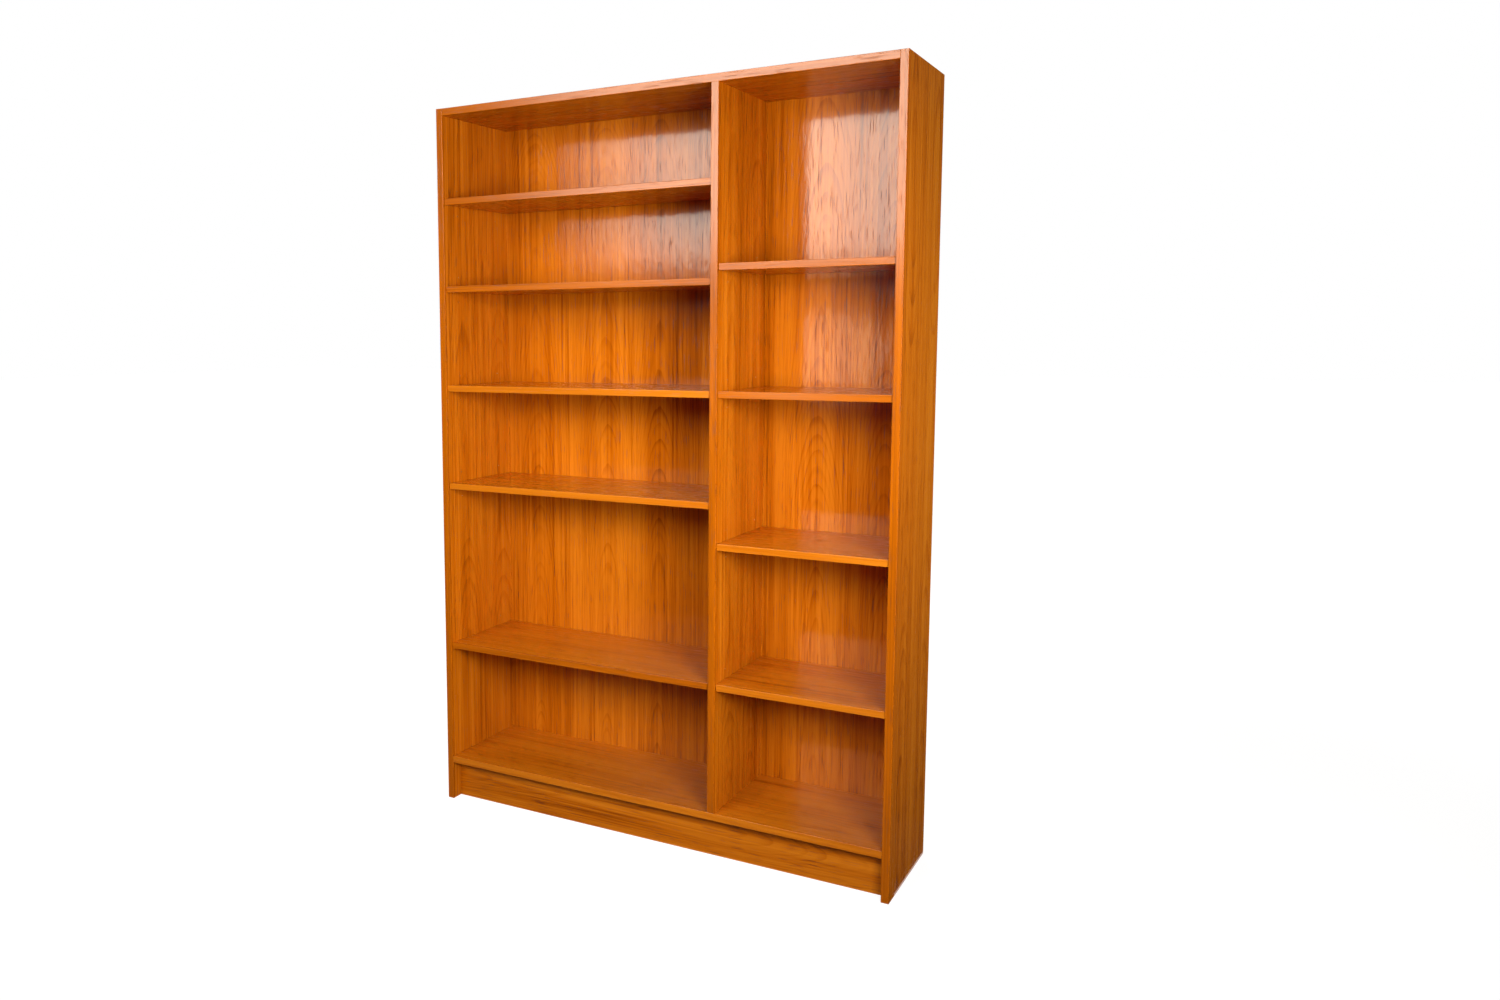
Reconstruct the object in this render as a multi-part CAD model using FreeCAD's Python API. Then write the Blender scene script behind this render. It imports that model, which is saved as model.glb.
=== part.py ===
"""Double bookcase of veneered boards: a wide and a narrow bay with loose shelves on hidden wires.

Millimetres. X runs to the right, Y from front to back and Z up. The origin is on the floor, under the
middle of the case.
"""
import FreeCAD, Part
import math
import os
from FreeCAD import Vector

# Case
case_width = 1200.0
case_depth = 295.0
case_height = 1820.0
right_bay_width = 400.0        # clear width of the narrow bay, the wide bay takes the rest
side_t = 18.0
top_t = 18.0
bottom_t = 18.0
divider_t = 18.0

# Plinth and its three-cornered glue blocks
plinth_height = 100.0          # floor to the underside of the bottom board
plinth_t = 18.0
plinth_setback = 33.0          # behind the front of the case
glue_block_leg = 30.0
glue_block_length = 80.0
glue_block_count = 4

# Clear heights of the compartments, from the bottom up. One tall compartment in each bay takes the rest.
left_low_clears = (297.0,)                             # below the left bay's tall compartment
left_high_clears = (241.0, 240.0, 206.0, 207.0)        # above it, up to the top board
right_clears = (297.0, 318.0, 336.0, 272.0)            # the right bay's tall compartment is above them

# Shelves
shelf_t = 16.0
shelf_setback = 5.0            # behind the front of the case
shelf_end_gap = 1.0            # between a shelf's end and the upright beside it
shelf_back_gap = 1.0           # between a shelf and the back sheet

# Solid lipping on the front edges
lipping_t = 6.0
arris_r = 1.0                  # rounding of its long front edges

# Back sheet in its rebates, and its nails
back_t = 6.0
rebate_lip = 8.0               # wood outside the rebate, which hides the sheet's edge
nail_d = 2.0
nail_length = 20.0
nail_head_d = 4.6
nail_head_t = 1.0
nail_pitch = 420.0             # wished distance between nails
nail_end_inset = 60.0          # first and last nail of a row, from the inside corners

# Divider's stopped housings in top and bottom board
housing_depth = 6.0
housing_stop = 14.0            # blind stretch behind the lipping

# Dowels
dowel_d = 8.0
dowel_fit = 0.1                # hole wider than dowel
dowel_cover = 5.0              # wood left outside a dowel's hole in a side
dowel_in_board = 24.0          # hole depth in the end of a board
dowel_glue_gap = 1.0           # room for glue at each end of a dowel
corner_dowel_count = 3
corner_dowel_inset = 45.0      # first and last dowel, from the board's front and back edges
plinth_dowel_inset = 25.0      # from the plinth's long edges

# Shelf wires: legs in blind holes of the uprights, run in a slot in the shelf's end
wire_d = 3.0
wire_hole_fit = 0.2            # hole wider than wire
wire_bend_r = 3.5              # to the middle of the wire
wire_straight = 1.5            # straight stretch of a leg between upright and bend
wire_web = 4.0                 # wood left between two holes that meet in the divider
wire_hole_slack = 0.5          # hole deeper than leg
wire_inset = 55.0              # legs from the shelf's front and back
wire_step = 32.0               # spare holes lie this far above and below those in use
slot_clearance = 0.3           # between wire and slot, above and below
slot_slack = 1.5               # between wire and the slot's floor
slot_stop = 20.0               # the slot ends this far behind the lipping

# Planes that the pieces share
front = -case_depth / 2
rear = case_depth / 2
board_front = front + lipping_t
back_face = rear - back_t
left_outer = -case_width / 2
right_outer = case_width / 2
left_inner = left_outer + side_t
right_inner = right_outer - side_t
divider_right = right_inner - right_bay_width
divider_left = divider_right - divider_t
divider_middle = (divider_left + divider_right) / 2
bottom_top = plinth_height + bottom_t
top_under = case_height - top_t
back_top = case_height - rebate_lip
shelf_front = front + shelf_setback
shelf_back = back_face - shelf_back_gap


def tops_from_below(clears):
    """Upper faces of the shelves above these compartments, counted up from the bottom board."""
    return [bottom_top + sum(clears[:i]) + i * shelf_t for i in range(1, len(clears) + 1)]


def tops_from_above(clears):
    """Upper faces of the shelves below these compartments, counted down from the top board."""
    return [top_under - sum(clears[i:]) - (len(clears) - 1 - i) * shelf_t for i in range(len(clears))]


left_shelf_tops = tops_from_below(left_low_clears) + tops_from_above(left_high_clears)
right_shelf_tops = tops_from_below(right_clears)

# Wire and slot sizes that follow from the others
wire_hole_depth = (divider_t - wire_web) / 2
wire_reach = wire_straight + wire_bend_r               # run's middle, from the upright's face
slot_depth = wire_reach + wire_d / 2 + slot_slack - shelf_end_gap
slot_height = wire_d + 2 * slot_clearance
slot_front = shelf_front + lipping_t + slot_stop
wire_front = shelf_front + wire_inset
wire_back = shelf_back - wire_inset


def block(x0, x1, y0, y1, z0, z1):
    """Straight-edged board between two corners."""
    return Part.makeBox(x1 - x0, y1 - y0, z1 - z0, Vector(x0, y0, z0))


def rod(diameter, start, end):
    """Round rod between two points."""
    return Part.makeCylinder(diameter / 2, (end - start).Length, start, end - start)


def evenly(first, last, count):
    """Count places from first to last, at equal distances."""
    return [first + (last - first) * i / (count - 1) for i in range(count)]


def lipping(x0, x1, z0, z1, face, grain):
    """Solid strip in front of a board, its long front edges rounded. Grain is the strip's direction."""
    strip = block(x0, x1, face, face + lipping_t, z0, z1)
    arrises = []
    for edge in strip.Edges:
        start, end = (vertex.Point for vertex in edge.Vertexes)
        along = abs((end - start).normalize().dot(grain)) > 0.5
        if along and start.y < face + lipping_t / 2:
            arrises.append(edge)
    return strip.makeFillet(arris_r, arrises)


# Dowels: each has a seat in a side and one in the end of the board that butts against it
def dowel_and_hole(inner, outward, y, z):
    """Dowel across the joint plane x = inner, and the two-sided hole that takes it."""
    in_side = side_t - dowel_cover
    side_end = Vector(inner + outward * in_side, y, z)
    board_end = Vector(inner - outward * dowel_in_board, y, z)
    gap = Vector(outward * dowel_glue_gap, 0, 0)
    dowel = rod(dowel_d, board_end + gap, side_end - gap)
    return dowel, rod(dowel_d + dowel_fit, board_end, side_end)


def dowel_rows(places):
    """Dowels and holes at both ends of a board, for its list of (y, z) places."""
    joints = ((left_inner, -1), (right_inner, 1))
    pairs = [dowel_and_hole(inner, outward, y, z) for inner, outward in joints for y, z in places]
    return [dowel for dowel, hole in pairs], [hole for dowel, hole in pairs]


corner_ys = evenly(board_front + corner_dowel_inset, back_face - corner_dowel_inset, corner_dowel_count)
top_dowels, top_holes = dowel_rows([(y, top_under + top_t / 2) for y in corner_ys])
bottom_dowels, bottom_holes = dowel_rows([(y, plinth_height + bottom_t / 2) for y in corner_ys])
plinth_front = front + plinth_setback
plinth_middle = plinth_front + plinth_t / 2
plinth_zs = (plinth_dowel_inset, plinth_height - plinth_dowel_inset)
plinth_dowels, plinth_holes = dowel_rows([(plinth_middle, z) for z in plinth_zs])


# Shelf wires
def wire_and_holes(face, inward, top):
    """Wire on the upright's face for a shelf with this upper face, its holes and the spare ones."""
    z = top - shelf_t / 2
    hole_end = face - inward * wire_hole_depth
    leg_end = hole_end + inward * wire_hole_slack
    run = face + inward * wire_reach
    bend = run - inward * wire_bend_r
    shoulder = wire_bend_r * (1 - math.sqrt(0.5))
    front_arc = Part.Arc(Vector(bend, wire_front, z),
                         Vector(run - inward * shoulder, wire_front + shoulder, z),
                         Vector(run, wire_front + wire_bend_r, z))
    back_arc = Part.Arc(Vector(run, wire_back - wire_bend_r, z),
                        Vector(run - inward * shoulder, wire_back - shoulder, z),
                        Vector(bend, wire_back, z))
    curves = (Part.LineSegment(Vector(leg_end, wire_front, z), Vector(bend, wire_front, z)),
              front_arc,
              Part.LineSegment(Vector(run, wire_front + wire_bend_r, z),
                               Vector(run, wire_back - wire_bend_r, z)),
              back_arc,
              Part.LineSegment(Vector(bend, wire_back, z), Vector(leg_end, wire_back, z)))
    path = Part.Wire([curve.toShape() for curve in curves])
    section = Part.Wire(Part.makeCircle(wire_d / 2, Vector(leg_end, wire_front, z), Vector(inward, 0, 0)))
    wire = path.makePipeShell([section], True, False)
    holes = [rod(wire_d + wire_hole_fit, Vector(hole_end, y, level), Vector(face, y, level))
             for y in (wire_front, wire_back) for level in (z - wire_step, z, z + wire_step)]
    return wire, holes


def wires_on(face, inward, tops):
    """Wires on one face of an upright, and all their holes."""
    pairs = [wire_and_holes(face, inward, top) for top in tops]
    return [wire for wire, holes in pairs], [hole for wire, holes in pairs for hole in holes]


left_side_wires, left_side_wire_holes = wires_on(left_inner, 1, left_shelf_tops)
divider_left_wires, divider_left_wire_holes = wires_on(divider_left, -1, left_shelf_tops)
divider_right_wires, divider_right_wire_holes = wires_on(divider_right, 1, right_shelf_tops)
right_side_wires, right_side_wire_holes = wires_on(right_inner, -1, right_shelf_tops)


# Back nails
def nail(x, z):
    """Round nail, its head flush with the sheet's rear face."""
    head = rod(nail_head_d, Vector(x, rear - nail_head_t, z), Vector(x, rear, z))
    shank = rod(nail_d, Vector(x, rear - nail_length, z), Vector(x, rear - nail_head_t, z))
    return head.fuse(shank).removeSplitter()


def nail_places(first, last):
    """Places of a row of nails between two inside corners."""
    span = last - first - 2 * nail_end_inset
    count = max(2, 1 + round(span / nail_pitch))
    return evenly(first + nail_end_inset, last - nail_end_inset, count)


upright_zs = nail_places(bottom_top, top_under)
crosswise_xs = nail_places(left_inner, divider_left) + nail_places(divider_right, right_inner)
ledge = (side_t - rebate_lip) / 2
left_nails = [nail(left_inner - ledge, z) for z in upright_zs]
right_nails = [nail(right_inner + ledge, z) for z in upright_zs]
divider_nails = [nail(divider_middle, z) for z in upright_zs]
top_nails = [nail(x, (top_under + back_top) / 2) for x in crosswise_xs]
bottom_nails = [nail(x, plinth_height + bottom_t / 2) for x in crosswise_xs]
nails = left_nails + right_nails + divider_nails + top_nails + bottom_nails


# Boards of the case
def side_board(outer, inner, cuts):
    """Upright side with the rebate for the back sheet along its inner rear edge."""
    outward = 1 if outer > inner else -1
    lip = outer - outward * rebate_lip
    board = block(min(outer, inner), max(outer, inner), board_front, rear, 0, case_height)
    rebate = block(min(lip, inner), max(lip, inner), back_face, rear, 0, back_top)
    return board.cut([rebate] + cuts)


def top_board():
    board = block(left_inner, right_inner, board_front, rear, top_under, case_height)
    rebate = block(left_inner, right_inner, back_face, rear, top_under, back_top)
    housing = block(divider_left, divider_right, board_front + housing_stop, back_face,
                    top_under, top_under + housing_depth)
    return board.cut([rebate, housing] + top_holes + top_nails)


def bottom_board():
    board = block(left_inner, right_inner, board_front, back_face, plinth_height, bottom_top)
    housing = block(divider_left, divider_right, board_front + housing_stop, back_face,
                    bottom_top - housing_depth, bottom_top)
    return board.cut([housing] + bottom_holes + bottom_nails)


def divider_board():
    """Upright with a tongue at each end, cut back at the front so that its housings don't show."""
    board = block(divider_left, divider_right, board_front, back_face, bottom_top, top_under)
    tongues = block(divider_left, divider_right, board_front + housing_stop, back_face,
                    bottom_top - housing_depth, top_under + housing_depth)
    cuts = divider_left_wire_holes + divider_right_wire_holes + divider_nails
    return board.fuse(tongues).removeSplitter().cut(cuts)


def back_sheet():
    sheet = block(left_outer + rebate_lip, right_outer - rebate_lip, back_face, rear, plinth_height, back_top)
    return sheet.cut(nails)


def plinth_board():
    board = block(left_inner, right_inner, plinth_front, plinth_front + plinth_t, 0, plinth_height)
    return board.cut(plinth_holes)


def glue_blocks():
    """Three-cornered blocks in the angle between plinth and bottom board."""
    corner_y = plinth_front + plinth_t
    spacing = (right_inner - left_inner) / glue_block_count
    blocks = []
    for i in range(glue_block_count):
        x = left_inner + (i + 0.5) * spacing - glue_block_length / 2
        corners = [Vector(x, corner_y, plinth_height),
                   Vector(x, corner_y + glue_block_leg, plinth_height),
                   Vector(x, corner_y, plinth_height - glue_block_leg)]
        profile = Part.Face(Part.makePolygon(corners + corners[:1]))
        blocks.append(profile.extrude(Vector(glue_block_length, 0, 0)))
    return blocks


# Shelves
def shelf_board(x0, x1, top):
    """Shelf behind its lipping, with a slot in each end that is open to the back and blind in front."""
    board = block(x0, x1, shelf_front + lipping_t, shelf_back, top - shelf_t, top)
    middle = top - shelf_t / 2
    slots = [block(a, a + slot_depth, slot_front, shelf_back, middle - slot_height / 2, middle + slot_height / 2)
             for a in (x0, x1 - slot_depth)]
    return board.cut(slots)


across = Vector(1, 0, 0)
upwards = Vector(0, 0, 1)
pieces = {
    "left_side": side_board(left_outer, left_inner, left_side_wire_holes + top_holes + bottom_holes
                            + plinth_holes + left_nails),
    "right_side": side_board(right_outer, right_inner, right_side_wire_holes + top_holes + bottom_holes
                             + plinth_holes + right_nails),
    "top_panel": top_board(),
    "bottom_panel": bottom_board(),
    "divider": divider_board(),
    "back_panel": back_sheet(),
    "plinth": plinth_board(),
    "left_side_lipping": lipping(left_outer, left_inner, 0, case_height, front, upwards),
    "right_side_lipping": lipping(right_inner, right_outer, 0, case_height, front, upwards),
    "top_lipping": lipping(left_inner, right_inner, top_under, case_height, front, across),
    "bottom_lipping": lipping(left_inner, right_inner, plinth_height, bottom_top, front, across),
    "divider_lipping": lipping(divider_left, divider_right, bottom_top, top_under, front, upwards),
    "left_shelf_wires": Part.makeCompound(left_side_wires + divider_left_wires),
    "right_shelf_wires": Part.makeCompound(divider_right_wires + right_side_wires),
    "corner_dowels": Part.makeCompound(top_dowels + bottom_dowels),
    "plinth_dowels": Part.makeCompound(plinth_dowels),
    "back_nails": Part.makeCompound(nails),
    "glue_blocks": Part.makeCompound(glue_blocks()),
}
bays = (("left", left_inner, divider_left, left_shelf_tops),
        ("right", divider_right, right_inner, right_shelf_tops))
for bay, bay_x0, bay_x1, tops in bays:
    end_x0 = bay_x0 + shelf_end_gap
    end_x1 = bay_x1 - shelf_end_gap
    for number, top in enumerate(tops, start=1):
        name = f"{bay}_shelf_{number}"
        pieces[name] = shelf_board(end_x0, end_x1, top)
        pieces[name + "_lipping"] = lipping(end_x0, end_x1, top - shelf_t, top, shelf_front, across)

os.makedirs("parts", exist_ok=True)
for name, shape in pieces.items():
    shape.exportStep(f"parts/{name}.step")
print(f"{len(pieces)} nodes, case {case_width:.0f} x {case_depth:.0f} x {case_height:.0f} mm")
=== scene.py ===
# %% [markdown]
# # A double bookcase in oiled teak veneer
#
# The construction already exists as solids: two sides, a divider, top, bottom, plinth, a thin back
# sheet and nine loose shelves, each with a solid strip on its front edge. This lesson gives every one
# of those pieces its finish, sets up the light and the camera, and changes no shape. All lengths are in
# metres. The case faces -Y, so X runs along the shelves and Z is up.

# %% Load the construction
import bmesh
import bpy
import math
from mathutils import Matrix, Vector

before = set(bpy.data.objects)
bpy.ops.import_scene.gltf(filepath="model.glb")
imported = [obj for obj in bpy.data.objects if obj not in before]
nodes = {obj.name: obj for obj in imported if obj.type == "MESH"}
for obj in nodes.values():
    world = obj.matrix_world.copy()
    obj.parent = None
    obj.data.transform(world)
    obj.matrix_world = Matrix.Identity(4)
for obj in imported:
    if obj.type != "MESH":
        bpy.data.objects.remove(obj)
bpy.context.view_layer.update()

# %% [markdown]
# ## The camera
#
# The photographer stood to the right of the case, with the lens at about two thirds of its height, and
# looked slightly down. The place, the three angles and the focal length were found by lining up the
# corners of the case. The case isn't in the middle of the picture because the picture was cropped, and
# a lens shift gives the same crop without turning the camera.

# %% Camera
image_width, image_height = 1500, 1000
image_middle_seen = (571.5, 461.9)              # where the lens axis meets the picture, in its pixels
focal_pixels = 1170.6
sensor_width = 36.0                             # millimetres
camera_place = Vector((1.2672, -2.5994, 1.2523))
camera_yaw, camera_pitch, camera_roll = (math.radians(a) for a in (30.96, -6.31, -0.38))

sight = Vector((-math.sin(camera_yaw) * math.cos(camera_pitch),
                math.cos(camera_yaw) * math.cos(camera_pitch),
                math.sin(camera_pitch)))
level_right = Vector((math.cos(camera_yaw), math.sin(camera_yaw), 0))
level_up = level_right.cross(sight)
right = level_right * math.cos(camera_roll) + level_up * math.sin(camera_roll)
up = level_up * math.cos(camera_roll) - level_right * math.sin(camera_roll)

lens = bpy.data.cameras.new("camera")
lens.sensor_width = sensor_width
lens.lens = focal_pixels / image_width * sensor_width
lens.shift_x = (image_width / 2 - image_middle_seen[0]) / image_width
lens.shift_y = (image_middle_seen[1] - image_height / 2) / image_width
camera = bpy.data.objects.new("camera", lens)
camera.matrix_world = Matrix((right, up, -sight)).transposed().to_4x4()
camera.location = camera_place
bpy.context.scene.collection.objects.link(camera)
bpy.context.scene.camera = camera
print(f"camera: lens {lens.lens:.1f} mm, shift {lens.shift_x:.3f} {lens.shift_y:.3f}")

# %% [markdown]
# ## Arithmetic on node outputs
#
# Wood grain is made by shader nodes, and a graph of a hundred nodes is hard to read. So a node's output
# is wrapped in a small class, Field, that knows plus, minus and times. A formula then reads like a
# formula, and each operation adds one Math node to the material.

# %% Field: a value that varies over a surface
class Field:
    """The output of a shader node, open to ordinary arithmetic."""

    def __init__(self, tree, socket):
        self.tree = tree
        self.socket = socket

    def math(self, operation, *others):
        return add_node(self.tree, "Math", [self, *others], operation=operation)

    def __add__(self, other):
        return self.math("ADD", other)

    def __sub__(self, other):
        return self.math("SUBTRACT", other)

    def __mul__(self, other):
        return self.math("MULTIPLY", other)

    def __truediv__(self, other):
        return self.math("DIVIDE", other)

    def between(self, low, high):
        """0 at low, 1 at high, with a smooth rise in between and no change beyond."""
        inputs = {"Value": self, "From Min": low, "From Max": high}
        return add_node(self.tree, "MapRange", inputs, interpolation_type="SMOOTHSTEP")


def add_node(tree, kind, inputs, output=0, **options):
    """Adds a shader node, feeds its inputs with numbers, colours or Fields, and returns one output."""
    made = tree.nodes.new("ShaderNode" + kind)
    for option, value in options.items():
        setattr(made, option, value)
    for key, value in inputs.items() if isinstance(inputs, dict) else enumerate(inputs):
        if isinstance(value, Field):
            tree.links.new(value.socket, made.inputs[key])
        else:
            made.inputs[key].default_value = value
    return Field(tree, made.outputs[output])


print("a Field knows + - * / and between")

# %% [markdown]
# ## Noise, mixtures and colours
#
# Four more helpers. Noise is the raw material of every natural surface: stretched along one axis it
# gives streaks, and stretched a lot it gives fibres. Two colours are mixed by a Field, so that a
# pattern can drive the mixture. Colours are written as an image editor shows them, because that is how
# one reads them off a piece of wood, and turned into the linear values that shaders work with.

# %% Vector, noise, mixtures and colours
def vector(x, y, z):
    """Three Fields or numbers as one vector."""
    tree = next(part.tree for part in (x, y, z) if isinstance(part, Field))
    return add_node(tree, "CombineXYZ", [x, y, z])


def noise(place, detail=2.0, roughness=0.5):
    """Soft noise about 0, from -0.5 to 0.5."""
    inputs = {"Vector": place, "Scale": 1.0, "Detail": detail, "Roughness": roughness}
    return add_node(place.tree, "TexNoise", inputs) - 0.5


def mixed(share, first, second):
    """Colour that goes from first to second as share goes from 0 to 1."""
    factor, colour_a, colour_b, colour_out = 0, 6, 7, 2
    inputs = {factor: share, colour_a: first, colour_b: second}
    return add_node(share.tree, "Mix", inputs, output=colour_out, data_type="RGBA")


def mixed_number(share, first, second):
    """Number that goes from first to second as share goes from 0 to 1."""
    return add_node(share.tree, "MapRange", {"Value": share, "To Min": first, "To Max": second})


def srgb(red, green, blue):
    """A colour as an image editor shows it, 0 to 255, turned into the linear values that shaders use."""
    def linear(v):
        v = v / 255
        return v / 12.92 if v <= 0.04045 else ((v + 0.055) / 1.055) ** 2.4
    return (linear(red), linear(green), linear(blue), 1.0)


print("middle grey in linear values:", round(srgb(128, 128, 128)[0], 3))

# %% [markdown]
# ## Floor
#
# The case stands in a plain white studio. A big sheet is enough for the floor. It is white paint that
# also glows a little for the camera, so that it comes out white where light falls on it and pale grey
# in the shadow of the case. Light Path tells the rays apart: the glow isn't there for diffuse rays, so
# it throws no light on the wood. Far from the case, where no lamp reaches, the glow is stronger, so
# that no horizon shows.

# %% Sheets of the studio
def seen_directly(tree):
    """1 for rays from the camera, from a gloss or through glass, 0 for the rays that light surfaces."""
    path = tree.nodes.new("ShaderNodeLightPath")
    camera_ray, glossy, through = (Field(tree, path.outputs[f"Is {kind} Ray"])
                                   for kind in ("Camera", "Glossy", "Transmission"))
    return camera_ray.math("MAXIMUM", glossy).math("MAXIMUM", through)


def swept_sheet(name, path, start, end):
    """A bent sheet of the studio: a path of (y, z) points, drawn out along x from start to end."""
    form = bmesh.new()
    corners = [form.verts.new((start, y, z)) for y, z in path]
    line = [form.edges.new(pair) for pair in zip(corners, corners[1:])]
    drawn = bmesh.ops.extrude_edge_only(form, edges=line)["geom"]
    far_corners = [part for part in drawn if isinstance(part, bmesh.types.BMVert)]
    bmesh.ops.translate(form, verts=far_corners, vec=(end - start, 0, 0))
    mesh = bpy.data.meshes.new(name)
    form.to_mesh(mesh)
    form.free()
    sheet = bpy.data.objects.new(name, mesh)
    bpy.context.scene.collection.objects.link(sheet)
    return sheet


floor_half = 30.0
floor = swept_sheet("floor", [(-floor_half, 0), (floor_half, 0)], -floor_half, floor_half)
print("floor:", 2 * floor_half, "m square")

# %% White floor paint
floor_white = srgb(150, 150, 150)
glow_near, glow_far = 0.86, 1.0                 # beside the case, and where no lamp reaches
glow_rise = (1.3, 4.0)                          # metres from the case, from one glow to the other

floor_paint = bpy.data.materials.new("white_floor")
floor_paint.use_nodes = True
floor_tree = floor_paint.node_tree
paint = floor_tree.nodes["Principled BSDF"]
paint.inputs["Base Color"].default_value = floor_white
paint.inputs["Roughness"].default_value = 0.9
paint.inputs["Specular IOR Level"].default_value = 0.1
paint.inputs["Emission Color"].default_value = (1, 1, 1, 1)
floor_point = Field(floor_tree, floor_tree.nodes.new("ShaderNodeTexCoord").outputs["Object"])
distance = add_node(floor_tree, "VectorMath", [floor_point], output="Value", operation="LENGTH")
glow = seen_directly(floor_tree) * (distance.between(*glow_rise) * (glow_far - glow_near) + glow_near)
floor_tree.links.new(glow.socket, paint.inputs["Emission Strength"])
floor.data.materials.append(floor_paint)
print("floor glow:", glow_near, "to", glow_far)

# %% [markdown]
# ## The key light
#
# The shadows in a bookcase tell where its light comes from. Here the divider and the right side throw a
# soft shadow to the left on the back sheet, so the key is a softbox at the right, near and rather low.
# Its beam is narrow and aims at the wide bay, which leaves the top and the foot of the case darker. A
# second box lights the outer face of the right side. Both are kept out of reflections, because a lamp
# this near would leave a white patch on the gloss in views from the side.

# %% Softboxes at the right
def softbox(name, place, aim, size, watts, spread=180, mirrored=True):
    """Area light that faces a point. Spread is the angle of its beam, in degrees. A lamp that isn't
    mirrored lights the wood and leaves no white patch on its gloss."""
    lamp = bpy.data.lights.new(name, "AREA")
    lamp.shape = "RECTANGLE"
    lamp.size, lamp.size_y = size
    lamp.energy = watts
    lamp.spread = math.radians(spread)
    light = bpy.data.objects.new(name, lamp)
    light.location = place
    light.rotation_mode = "QUATERNION"
    light.rotation_quaternion = (Vector(aim) - light.location).to_track_quat("-Z", "Y")
    light.visible_camera = False
    light.visible_glossy = mirrored
    bpy.context.scene.collection.objects.link(light)
    return light


softbox("key", (1.57, -1.68, 1.3), aim=(-0.35, 0, 0.95), size=(0.75, 0.75), watts=17.5, spread=85,
        mirrored=False)
softbox("side", (2.7, -0.35, 1.25), aim=(0.6, 0, 1.1), size=(0.8, 0.8), watts=11.5, spread=110,
        mirrored=False)

# %% [markdown]
# ## The panel that the gloss shows
#
# The back sheet is smooth enough to mirror a light, and the bleached patches in the upper compartments
# are the image of a wide panel at the left of the camera. In the narrow bay, the patch ends at the left
# in a sharp edge, which is the image of the divider. Nothing is painted for this: a panel in the right
# place gives the patches, and they move as they should when one walks round the case. Its glow fades
# towards the edges, as that of a big diffuser does. A small round lamp below it gives the pale patch in
# the second compartment at the right. It works on the gloss only, so that the corners under the shelves
# stay dark.

# %% Panel and round lamp
def fade_edges(lamp, left, right, bottom, top):
    """Lets the glow of a softbox fade towards its edges, over these shares of its width and height."""
    lamp.use_nodes = True
    tree = lamp.node_tree
    place = tree.nodes.new("ShaderNodeSeparateXYZ")
    tree.links.new(tree.nodes.new("ShaderNodeNewGeometry").outputs["Parametric"], place.inputs[0])
    over, upwards = (Field(tree, place.outputs[axis]) for axis in "XY")
    sideways = over.between(0, left) * over.between(1, 1 - right)
    fading = sideways * upwards.between(0, bottom) * upwards.between(1, 1 - top)
    tree.links.new(fading.socket, tree.nodes["Emission"].inputs["Strength"])


panel = softbox("panel", (-0.956, -2.908, 2.198), aim=(-0.106, -0.058, 1.398), size=(2.6, 1.4),
                watts=40, spread=100)
panel.data.color = (1.0, 0.96, 0.84)
fade_edges(panel.data, left=0.31, right=0.1, bottom=0.13, top=0.1)
disc = softbox("disc", (-0.62, -2.78, 1.14), aim=(0.35, 0, 1.2), size=(0.5, 0.42), watts=2.4)
disc.data.color = (1.0, 0.94, 0.72)
disc.data.shape = "ELLIPSE"
disc.visible_diffuse = False
print("panel:", panel.data.energy, "W, round lamp:", disc.data.energy, "W")

# %% [markdown]
# ## The sides that the camera doesn't see, and the sky
#
# A piece of furniture is looked at from all sides, so the rear and the left side get a soft lamp each.
# The case itself keeps their light out of the compartments. The sky is white for the camera and for
# reflections, and gives next to no light, because the softboxes do that.

# %% Lamps for the other sides, and the sky
softbox("behind", (-1.4, 3.0, 2.0), aim=(0, 0, 0.95), size=(1.6, 1.6), watts=62, mirrored=False)
softbox("far_side", (-2.9, 0.35, 1.3), aim=(-0.6, 0, 0.95), size=(1.2, 1.2), watts=16, spread=110,
        mirrored=False)

sky_light = 0.02
world = bpy.data.worlds.new("studio")
world.use_nodes = True
bpy.context.scene.world = world
sky = world.node_tree.nodes["Background"]
sky.inputs["Color"].default_value = (1, 1, 1, 1)
strength = seen_directly(world.node_tree) * (1 - sky_light) + sky_light
world.node_tree.links.new(strength.socket, sky.inputs["Strength"])
bpy.context.scene.view_settings.view_transform = "Standard"

# %% [markdown]
# ## Black felt
#
# A white studio lies on every gloss like a veil and takes the colour out of the wood. A photographer
# hangs black felt where the piece would mirror the white. Here one sheet lies in front of the case and
# goes up behind the panel, and another stands at the right. They show in reflections only, so that they
# shade nothing and the camera sees white.

# %% Felt for the front and for the right side
felt = bpy.data.materials.new("black_felt")
felt.use_nodes = True
felt_shader = felt.node_tree.nodes["Principled BSDF"]
felt_shader.inputs["Base Color"].default_value = (0.01, 0.01, 0.01, 1)
felt_shader.inputs["Roughness"].default_value = 1.0

felt_lift = 0.002                               # above the floor
front_path = [(-0.1, felt_lift), (-3.6, felt_lift), (-3.6, 3.8)]
right_path = [(-0.2, felt_lift), (0.35, felt_lift), (0.35, 3.2)]
front_felt = swept_sheet("front_felt", front_path, -5.0, 2.4)
right_felt = swept_sheet("right_felt", right_path, 0.602, 5.0)
for sheet in (front_felt, right_felt):
    sheet.visible_camera = False
    sheet.visible_diffuse = False
    sheet.visible_shadow = False
    sheet.data.materials.append(felt)
print("felt:", front_felt.name, right_felt.name)

# %% [markdown]
# ## Rings in the wood
#
# Veneer is a thin slice of a log. The yearly rings are nearly round tubes about the heart, and the
# slice cuts them at a slant. So the pattern needs no drawing: take the distance of a point from the
# heart, divide it by the width of a ring, and look at the fraction that is left. Where the slice runs
# close to the heart, that gives pointed arches one inside the other, and further out it gives straight
# lines. A little noise in the distance makes the rings as uneven as real ones. A Wave texture would be
# quicker, but it can't turn from arches into lines along one board.

# %% Ring lines
slow_rise, sharp_fall = (0.45, 0.93), (0.94, 1.0)     # as shares of a ring


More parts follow.
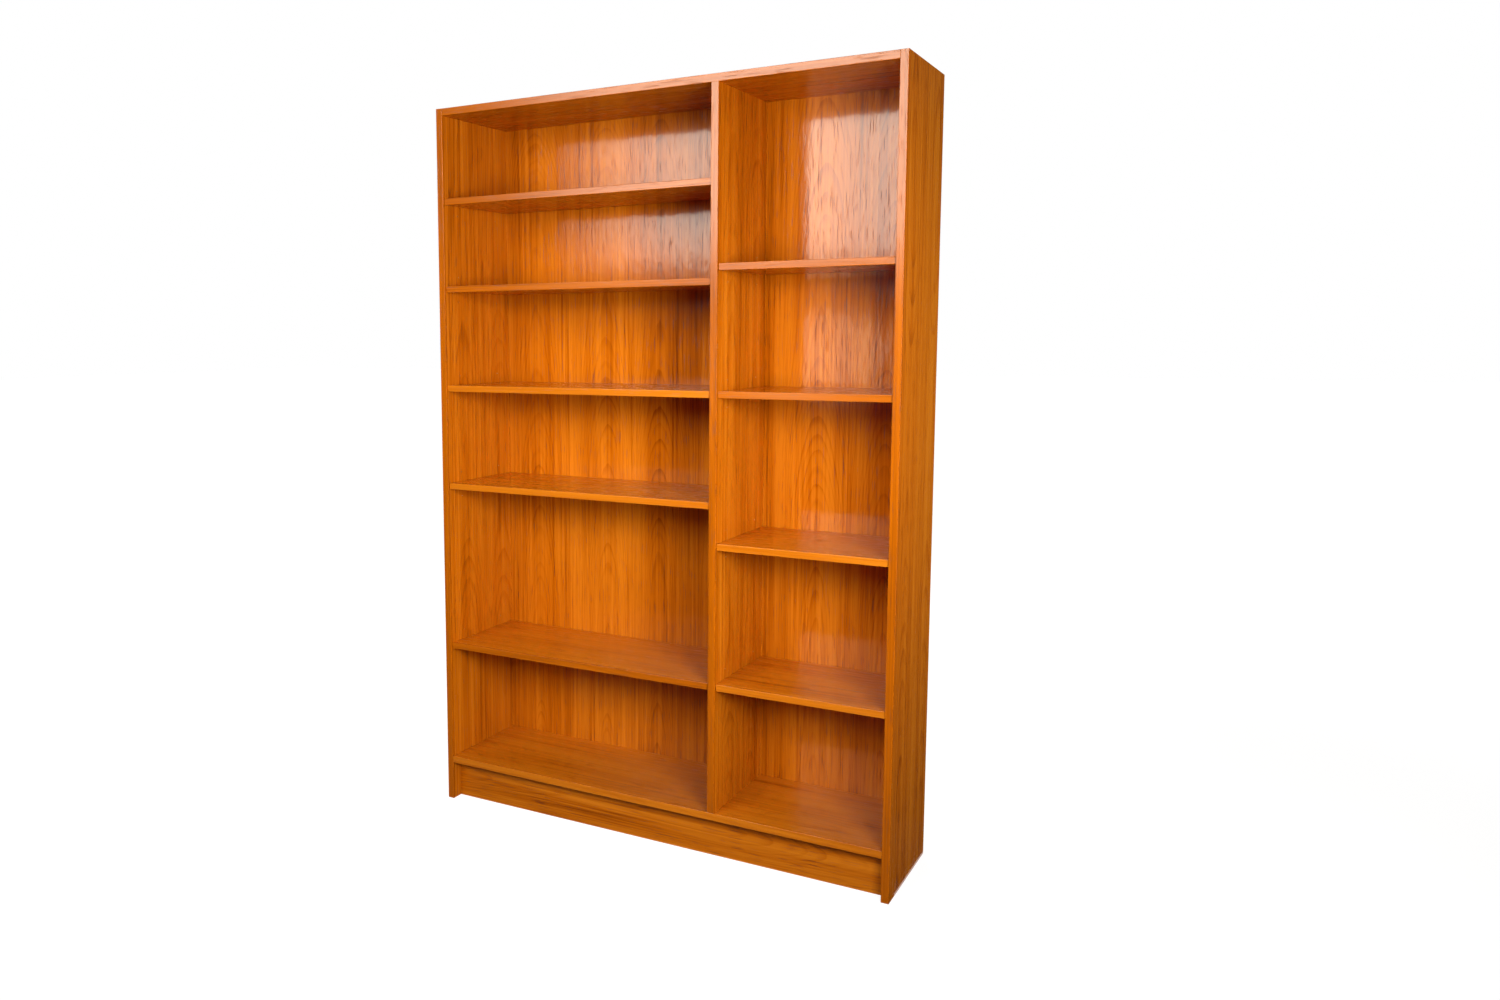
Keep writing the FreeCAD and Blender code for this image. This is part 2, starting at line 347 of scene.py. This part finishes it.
def ring_lines(across, along, heart, slope, ring, seed):
    """Darkness of the ring lines, 0 to 1, on a slice that lies heart away from the log's middle, leaves
    it by slope along the board, and has rings of the width ring."""
    drift = noise(vector(along * 1.1, across * 2.5, seed), detail=1.0)           # the log bends slowly
    shiver = noise(vector(along * 7.0, across * 45.0, seed + 7.3), detail=2.0)   # and its rings tremble
    depth = along * slope + drift * 0.07 + heart
    side = across + drift * 0.02
    radius = (side * side + depth * depth).math("SQRT") + shiver * (ring * 0.55)
    uneven = noise(vector(radius * (0.35 / ring), 0.0, seed + 3.1), detail=1.0)
    turn = (radius / ring + uneven * 1.6).math("FRACT")
    weather = vector(along * 5.0, radius * (0.9 / ring), seed + 5.9)             # some years are faint
    strength = noise(weather, detail=2.0).between(-0.25, 0.3)
    return (turn.between(*slow_rise) - turn.between(*sharp_fall)) * strength


print("ring lines: a slow rise over", slow_rise, "of a ring, then a sharp fall over", sharp_fall)

# %% [markdown]
# ## Streaks, pores and colour
#
# Between the rings, teak has fine streaks along the grain and open pores, which show as short dark
# dashes. Both are noise stretched along the board. The streaks aren't equally strong everywhere, so a
# second, broader noise calms them in places. Three colours are enough for the wood, from the pale early
# wood to the deep late wood, and a Color Ramp picks between them by tone.

# %% Fibre and the colours of teak
teak_pale = srgb(204, 116, 20)
teak_middle = srgb(178, 90, 3)
teak_deep = srgb(124, 56, 1)


def fibre(across, along, seed):
    """Fine streaks along the grain, -0.5 to 0.5, and pores, 0 to 1."""
    streaks = noise(vector(across * 160.0, along * 2.0, seed), detail=4.0, roughness=0.6)
    calm = noise(vector(across * 14.0, along * 1.3, seed + 4.2), detail=1.0).between(-0.25, 0.25)
    streaks = streaks * (calm * 0.9 + 0.55)
    pores = noise(vector(across * 430.0, along * 20.0, seed + 1.7), detail=1.0).between(0.1, 0.2)
    return streaks, pores


def teak_colour(tone):
    """Colour of the wood for a tone of 0, pale, to 1, deep."""
    made = tone.tree.nodes.new("ShaderNodeValToRGB")
    tone.tree.links.new(tone.socket, made.inputs[0])
    stops = made.color_ramp.elements
    stops[0].color = teak_pale
    stops[1].color = teak_deep
    stops.new(0.5).color = teak_middle
    return Field(tone.tree, made.outputs[0])


print("teak:", [tuple(round(c, 3) for c in shade[:3]) for shade in (teak_pale, teak_middle, teak_deep)])

# %% [markdown]
# ## What every finish needs
#
# Each finish is one Principled shader. Its pattern reads Object coordinates, which here are the
# coordinates of the whole case, so the grain has its true size on every piece. The normal of a face
# tells veneer from a cut edge. Values that are the same all over are set on the shader itself.

# %% Helpers for finishes
def new_finish(name):
    """A material with its shader, object coordinates by axis letter, and surface normal likewise."""
    material = bpy.data.materials.new(name)
    material.use_nodes = True
    tree = material.node_tree
    shader = tree.nodes["Principled BSDF"]
    coordinates = tree.nodes.new("ShaderNodeTexCoord")
    split = {}
    for part in ("Object", "Normal"):
        apart = tree.nodes.new("ShaderNodeSeparateXYZ")
        tree.links.new(coordinates.outputs[part], apart.inputs[0])
        split[part] = {axis: Field(tree, apart.outputs[axis]) for axis in "XYZ"}
    return material, shader, split["Object"], split["Normal"]


def give(shader, **inputs):
    """Links Fields to the shader, or sets plain values on it."""
    for name, value in inputs.items():
        socket = shader.inputs[name.replace("_", " ")]
        if isinstance(value, Field):
            value.tree.links.new(value.socket, socket)
        else:
            socket.default_value = value


def raised(height, depth):
    """Normals of a surface with this height, 0 to 1, over a depth in metres."""
    return add_node(height.tree, "Bump", {"Height": height, "Distance": depth, "Strength": 1.0})


def dress(node, material):
    """Puts one finish on a whole piece."""
    slots = nodes[node].data.materials
    slots.clear()
    slots.append(material)


print("pieces to dress:", len(nodes))

# %% [markdown]
# ## Cut edges
#
# Each board is pressed chips with a leaf of teak on both faces. Where a board is cut, the chips show:
# on the ends of the shelves and on the rear edges. A Voronoi texture gives each chip a place and a
# random colour, and that is all a cut edge needs at this size.

# %% Pressed chips
chip_pale = srgb(196, 164, 118)
chip_dark = srgb(128, 92, 56)
chips_per_metre = 420.0
chip_rough = 0.85


def chips(place, tree):
    """Colour of pressed chips on a cut edge."""
    at = add_node(tree, "CombineXYZ", [place["X"], place["Y"], place["Z"]])
    flakes = add_node(tree, "TexVoronoi", {"Vector": at, "Scale": chips_per_metre}, output="Color")
    return mixed(add_node(tree, "SeparateColor", [flakes]), chip_pale, chip_dark)


print(f"chips: {1000 / chips_per_metre:.1f} mm")

# %% [markdown]
# ## Veneered boards
#
# The grain runs along the board, so the finish is told which axes of the case run along the grain,
# across it and through the board. A face that looks along the third axis shows veneer, and any other
# face is a cut edge, unless it was edged. Wide faces carry several leaves side by side. They come from
# the same log and are alike, but each has its own drift and a slightly different tone, and the seams
# between them show. The finish is oil with a satin sheen. The pores are a little deeper and rougher
# than the wood, and a faint ripple along the fibres gives the reflections a ragged edge.

# %% Board finish
polished, satin = 0.1, 0.17                     # roughness of the back sheet, and of all else
sheen = 0.38                                    # specular level: oiled wood mirrors less than varnish
grain_depth = 0.00012
veneer_tone = 0.3                               # on the scale of teak_colour, before the figure
leaf_shift, leaf_contrast = 0.05, 0.18          # how far leaves differ in place and in tone
backing_pale = srgb(205, 172, 128)
backing_dark = srgb(168, 130, 88)
backing_rough = 0.6
facing = (0.6, 0.8)                             # how far a normal must turn to an axis to face it


def board_finish(name, grain, leaves, log, seed, backing=0, edged_ends=False, smooth=satin, pale=0.0):
    """Veneered board. Grain names the axes along, across and through it. Leaves is the width of a leaf
    and where the first one starts. Log is heart, slope and ring, as for ring_lines. Backing is the side,
    +1 or -1 along the third axis, that has a plain backing veneer instead of teak."""
    material, shader, place, normal = new_finish(name)
    tree = material.node_tree
    along, across, through = (place[axis] for axis in grain)
    leaf_width, leaf_start = leaves
    leaf_place = (across - leaf_start) / leaf_width
    leaf = leaf_place.math("FLOOR")
    in_leaf = (leaf_place - leaf - 0.5) * leaf_width
    leaf_seed = leaf * 0.23 + through * 9.0 + seed
    luck = add_node(tree, "TexWhiteNoise", {"W": leaf + seed}, noise_dimensions="1D") - 0.5

    lines = ring_lines(in_leaf + luck * leaf_shift, along, *log, leaf_seed)
    streaks, pores = fibre(in_leaf, along, leaf_seed)
    bands = noise(vector(in_leaf * 26.0, along * 0.7, leaf_seed), detail=3.0)
    ripple = noise(vector(in_leaf * 70.0, along * 30.0, leaf_seed + 2.3), detail=1.0)
    figure = lines * 0.36 + streaks * 1.6 + bands * 1.25 + pores * 0.46
    # a pale above 0 lifts the tone: painted light
    colour = teak_colour(figure + luck * leaf_contrast + (veneer_tone - pale))
    rough = pores * 0.25 + streaks * 0.08 + smooth

    if backing:
        behind = (normal[grain[2]] * backing).between(*facing)
        plain = mixed(streaks * 1.2 + bands * 0.6 + 0.5, backing_pale, backing_dark)
        colour = mixed(behind, colour, plain)
        rough = mixed_number(behind, rough, backing_rough)
    on_face = normal[grain[2]].math("ABSOLUTE").between(*facing)
    if edged_ends:
        on_face = on_face.math("MAXIMUM", normal[grain[0]].between(*facing))
    relief = streaks * 0.7 + ripple * 1.8 - pores * 0.4 - lines * 0.15
    give(shader, Base_Color=mixed(on_face, chips(place, tree), colour),
         Roughness=mixed_number(on_face, chip_rough, rough),
         Specular_IOR_Level=sheen, Normal=raised(relief, grain_depth))
    return material


print("board finish: roughness", satin, "or", polished, " sheen", sheen)

# %% [markdown]
# ## The back sheet
#
# The back is a thin sheet behind both bays, with upright grain. Its leaves are 195 mm wide, so each bay
# shows several of them. Hands and dusters hardly reach it, so it kept its polish. Its rear has a cheap,
# plain backing veneer, which keeps the sheet from warping.

# %% Dress the back sheet
back_leaves = (0.195, -0.188)
back_log = (0.03, 0.06, 0.0036)
back_teak = board_finish("teak_back", "ZXY", back_leaves, back_log, 2.0, backing=1, smooth=polished)
dress("back_panel", back_teak)
print(f"back sheet: leaves of {back_leaves[0] * 1000:.0f} mm")

# %% [markdown]
# ## Sides and divider
#
# The three uprights are cut from wide boards whose slice lies far from the heart, so their grain is
# nearly straight. Each has a seed of its own, or all three would show the same figure. Their upper ends
# are edged, because they can be seen from above.

# %% Dress the uprights
depth_leaves = (0.15, -0.1475)                  # two leaves over the depth of the case, from the front
upright_log = (0.14, 0.02, 0.004)
for node, seed in (("left_side", 11.0), ("right_side", 17.0), ("divider", 23.0)):
    dress(node, board_finish("teak_" + node, "ZYX", depth_leaves, upright_log, seed, edged_ends=True))
print("uprights: 3")

# %% [markdown]
# ## Top, bottom, plinth and shelves
#
# In the level boards, the grain runs along the shelf. The bottom board has backing veneer below, where
# nobody looks. The shelves share one finish: a pattern in the coordinates of the whole case already
# differs from shelf to shelf. Shelves and bottom board are a little paler than the rest: this is painted
# light, which brightens their upper faces.

# %% Dress the level boards
level_log = (0.08, 0.03, 0.004)
shelf_log = (0.07, 0.035, 0.004)
plinth_leaves, plinth_log = (0.2, -0.05), (0.05, 0.04, 0.004)
# painted light: a paler tone for the shelves and the bottom board
shelf_painted_light = 0.2
dress("top_panel", board_finish("teak_top", "XYZ", depth_leaves, level_log, 31.0))
dress("bottom_panel", board_finish("teak_bottom", "XYZ", depth_leaves, level_log, 37.0, backing=-1,
                                   pale=shelf_painted_light))
dress("plinth", board_finish("teak_plinth", "XZY", plinth_leaves, plinth_log, 41.0))

shelf_teak = board_finish("teak_shelf", "XYZ", depth_leaves, shelf_log, 47.0, pale=shelf_painted_light)
shelves = [node for node in nodes if "_shelf_" in node and node[-1].isdigit()]
for node in shelves:
    dress(node, shelf_teak)
print("level boards:", 3 + len(shelves))

# %% [markdown]
# ## Solid strips on the front edges
#
# A board's front edge is covered by a strip of solid teak, so that no chips show and the arris can be
# rounded. It was cut along straight grain, and a thin dark glue line shows where it meets the board.
# Hands and dusters rub the finish off the two arrises first, and the arrises also carry a painted
# highlight, so both make them lighter. A Bevel node finds them: its normal turns away from the true one
# there, and the more it turns, the lighter and rougher they are.

# %% Strip finish
strip_slope, strip_ring = 0.01, 0.0035          # nearly parallel to the log
strip_tone = 0.56
strip_grain_depth = 0.0001
arris_width = 0.0016
glue_line_width = 0.0006
glue_line_cover = 0.0002                        # the last bit of the strip before the joint is dark


def strip_finish(name, grain, joint, seed, pale=0.0):
    """Solid strip. Joint is the y of the plane where it is glued to its board. Pale is painted light:
    how much lighter than the usual tone it is."""
    material, shader, place, _ = new_finish(name)
    tree = material.node_tree
    along, across, through = (place[axis] for axis in grain)
    heart = 0.3 + seed * 0.01                   # so far out that the rings are straight lines
    lines = ring_lines(across, along, heart, strip_slope, strip_ring, seed)
    streaks, pores = fibre(across, along, seed)
    bands = noise(vector(across * 30.0, along * 1.2, through * 30.0 + seed), detail=2.0)

    true_normal = Field(tree, tree.nodes.new("ShaderNodeNewGeometry").outputs["Normal"])
    soft_normal = add_node(tree, "Bevel", {"Radius": arris_width}, samples=6)
    turn = add_node(tree, "VectorMath", [true_normal, soft_normal], output="Value",
                    operation="DOT_PRODUCT")
    # lighter arrises: rubbed finish and a painted highlight
    rubbed_and_highlight = (turn * -1.0 + 1.0).between(0.01, 0.16)
    glue_end = joint - glue_line_cover
    glue_line = through.between(glue_end - glue_line_width, glue_end)

    figure = lines * 0.15 + streaks * 0.9 + bands * 0.45 + pores * 0.2
    give(shader, Base_Color=teak_colour(figure - rubbed_and_highlight * 0.2 + glue_line * 0.6 + (strip_tone - pale)),
         Roughness=pores * 0.2 + streaks * 0.1 + rubbed_and_highlight * 0.1 + satin,
         Specular_IOR_Level=sheen, Normal=raised(streaks * 0.5 - pores * 0.5, strip_grain_depth))
    return material


strips = [node for node in nodes if node.endswith("_lipping")]
joints = {node: max(v.co.y for v in nodes[node].data.vertices) for node in strips}
print("glue lines at y:", sorted({round(y, 4) for y in joints.values()}))

# %% [markdown]
# ## Painted light on the lower strips
#
# Some of the lower shelves and the bottom board have strips in a paler tone than the rest. This is
# painted light: it brightens their front edges, which stand out as light lines. A second finish with a
# paler tone is enough for that. It is set strip by strip rather than as a tone that changes with
# height.

# %% Dress the strips
# painted light: how much paler the lower strips are
strip_painted_light = 0.4
shelf_joint = joints["left_shelf_1_lipping"]
upright_strip = strip_finish("teak_strip_upright", "ZXY", joints["divider_lipping"], 53.0)
level_strip = strip_finish("teak_strip_level", "XZY", joints["top_lipping"], 59.0)
# the bottom board's strip carries painted light
bottom_strip = strip_finish("teak_strip_bottom", "XZY", joints["bottom_lipping"], 59.0, pale=strip_painted_light)
shelf_strip = strip_finish("teak_strip_shelf", "XZY", shelf_joint, 71.0)
painted_light_strip = strip_finish("teak_strip_painted_light", "XZY", shelf_joint, 71.0, pale=strip_painted_light)

special_strips = {"bottom": bottom_strip}
special_strips.update(dict.fromkeys(("left_side", "right_side", "divider"), upright_strip))
# lower shelves whose strips carry painted light
painted_light_shelves = ("left_shelf_2", "left_shelf_3", "right_shelf_1", "right_shelf_2")
special_strips.update(dict.fromkeys(painted_light_shelves, painted_light_strip))
for node in strips:
    usual = shelf_strip if "_shelf_" in node else level_strip
    dress(node, special_strips.get(node.removesuffix("_lipping"), usual))
# counts the strips with painted light
print("strips:", len(strips), " with painted light:", len(painted_light_shelves) + 1)

# %% [markdown]
# ## Dowels and glue blocks
#
# Beech dowels hold the corners, and pine blocks stiffen the plinth from behind. They show only when the
# case is taken apart, and still get the rings and fibres of their own wood, without any finish on it.

# %% Plain beech and pine
def plain_wood(name, grain, pale, dark, ring, seed):
    """Bare wood, with rings of the width ring between its pale and its dark colour."""
    material, shader, place, _ = new_finish(name)
    along, across, _ = (place[axis] for axis in grain)
    lines = ring_lines(across, along, heart=0.06, slope=0.02, ring=ring, seed=seed)
    streaks, _ = fibre(across, along, seed)
    give(shader, Base_Color=mixed(lines * 0.5 + streaks * 0.7 + 0.3, pale, dark),
         Roughness=streaks * 0.2 + 0.7, Normal=raised(streaks, 0.0002))
    return material


beech = plain_wood("beech", "XYZ", srgb(222, 180, 132), srgb(186, 138, 92), 0.003, 61.0)
pine = plain_wood("pine", "XYZ", srgb(228, 192, 130), srgb(190, 140, 80), 0.004, 67.0)
for node, wood in (("corner_dowels", beech), ("plinth_dowels", beech), ("glue_blocks", pine)):
    dress(node, wood)
print("plain wood: 3 nodes")

# %% [markdown]
# ## Wires and nails
#
# The shelves rest on bent steel wires, and small nails hold the back sheet. Wire is bright, with the
# fine lines of the die it was drawn through, and nails are duller and stained. Both lines and stains
# are noise again, long and narrow for the one and in patches for the other.

# %% Drawn steel
def steel(name, grain, bright, dull, roughness):
    """Drawn steel with fine lines along the wire and duller stains."""
    material, shader, place, _ = new_finish(name)
    along, across, through = (place[axis] for axis in grain)
    drawn = noise(vector(across * 2500.0, along * 60.0, through * 2500.0), detail=2.0)
    stain = noise(vector(across * 90.0, along * 25.0, through * 90.0), detail=3.0).between(-0.1, 0.25)
    give(shader, Base_Color=mixed(stain, bright, dull), Metallic=1.0,
         Roughness=drawn * 0.3 + stain * 0.2 + roughness, Normal=raised(drawn, 0.00004))
    return material


wire_steel = steel("bright_wire", "YXZ", srgb(200, 200, 198), srgb(150, 148, 144), 0.28)
nail_steel = steel("nail_steel", "YXZ", srgb(150, 148, 146), srgb(96, 84, 74), 0.42)
for node, metal in (("left_shelf_wires", wire_steel), ("right_shelf_wires", wire_steel),
                    ("back_nails", nail_steel)):
    dress(node, metal)
print("steel: 3 nodes")
